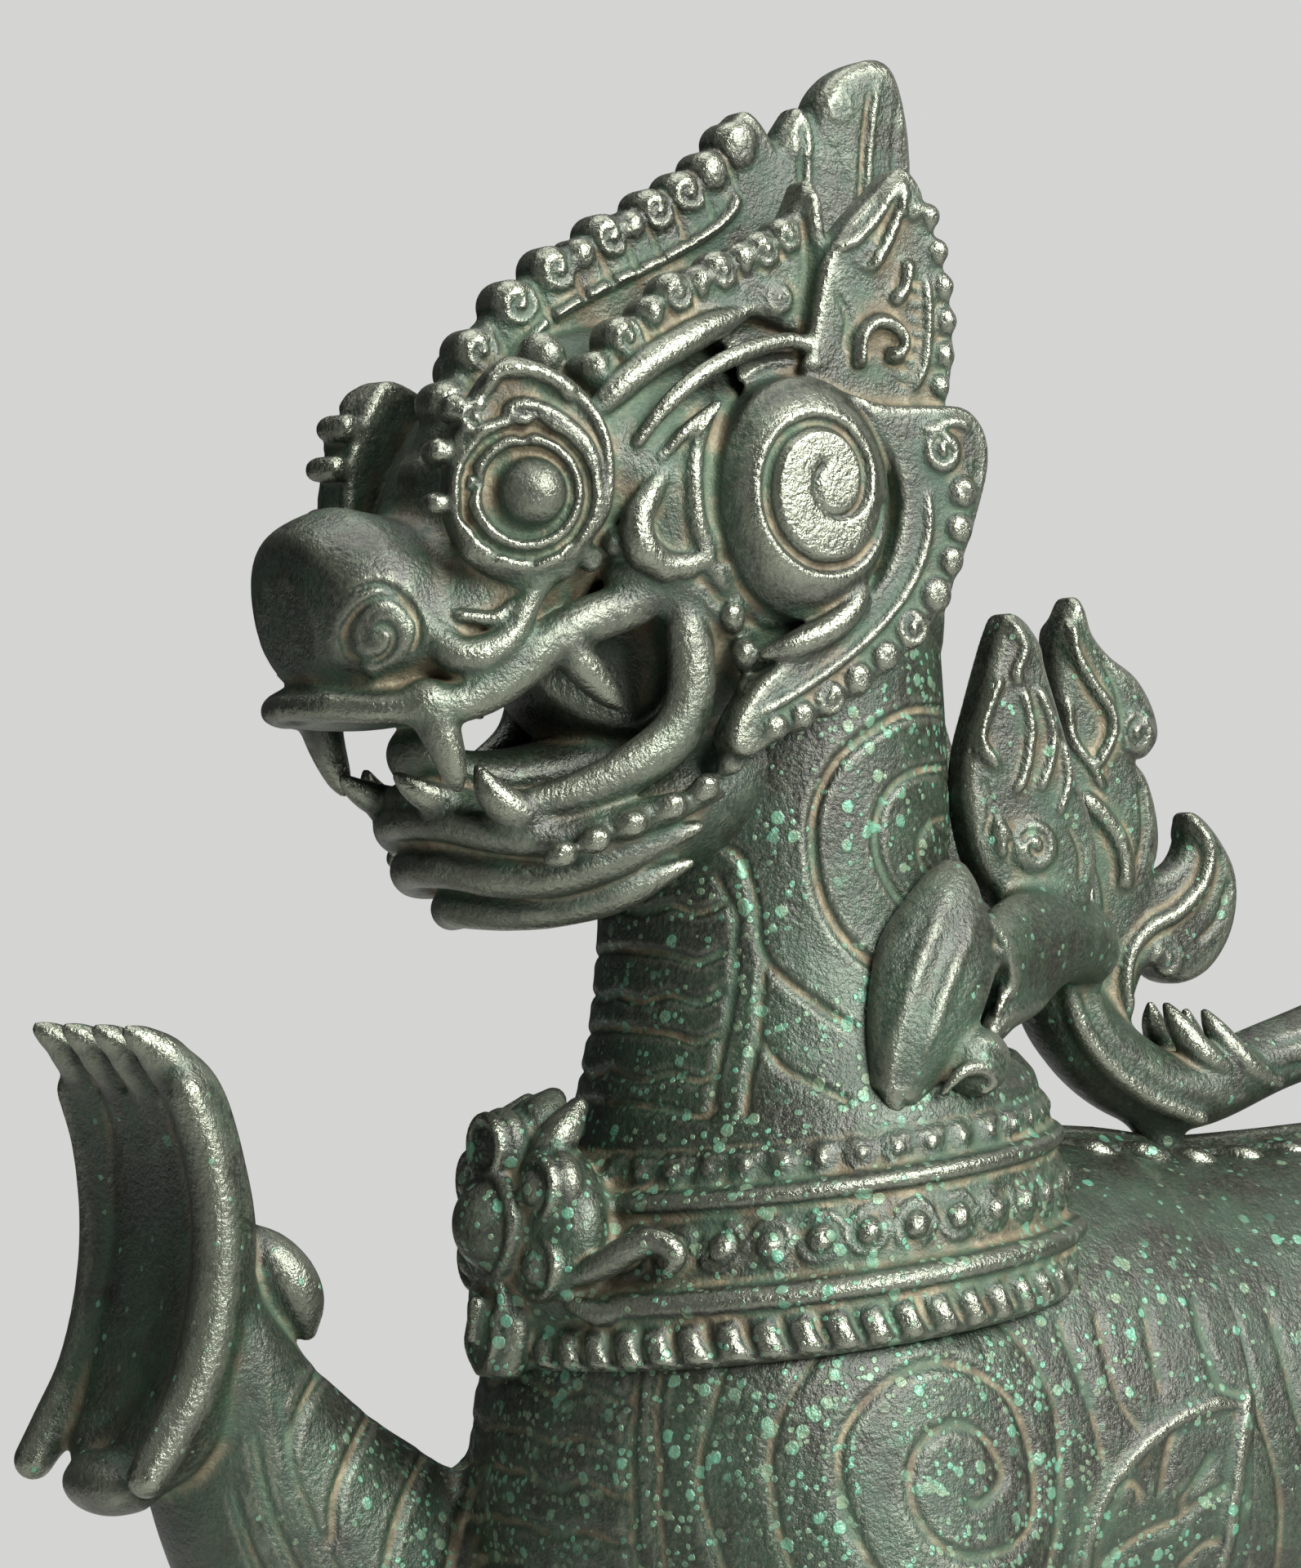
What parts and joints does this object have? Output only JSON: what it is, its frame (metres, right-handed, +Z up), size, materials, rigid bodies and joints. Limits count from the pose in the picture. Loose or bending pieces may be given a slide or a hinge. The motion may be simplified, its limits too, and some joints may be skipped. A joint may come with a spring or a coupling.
{
  "type": "temple lion figure",
  "caption": "Walking bronze temple lion on a low plinth, one forepaw raised, jaws open, with a scrolled crown, a collar and a flaming tail.",
  "frame": {"origin": "middle of the plinth's underside", "axes": "+Z up; the lion faces -Y and its left side is +X"},
  "size_m": [0.184, 0.436, 0.623],
  "materials": {
    "figure_bronze": "dark green patina over bronze, polished on the high places, brown-grey in the grooves, with pale green spots",
    "plinth_bronze": "dark green-brown patina over bronze, duller than the figure"
  },
  "bodies": {
    "root": {"lion_figure": "figure_bronze", "plinth": "plinth_bronze"}
  },
  "joints": []
}
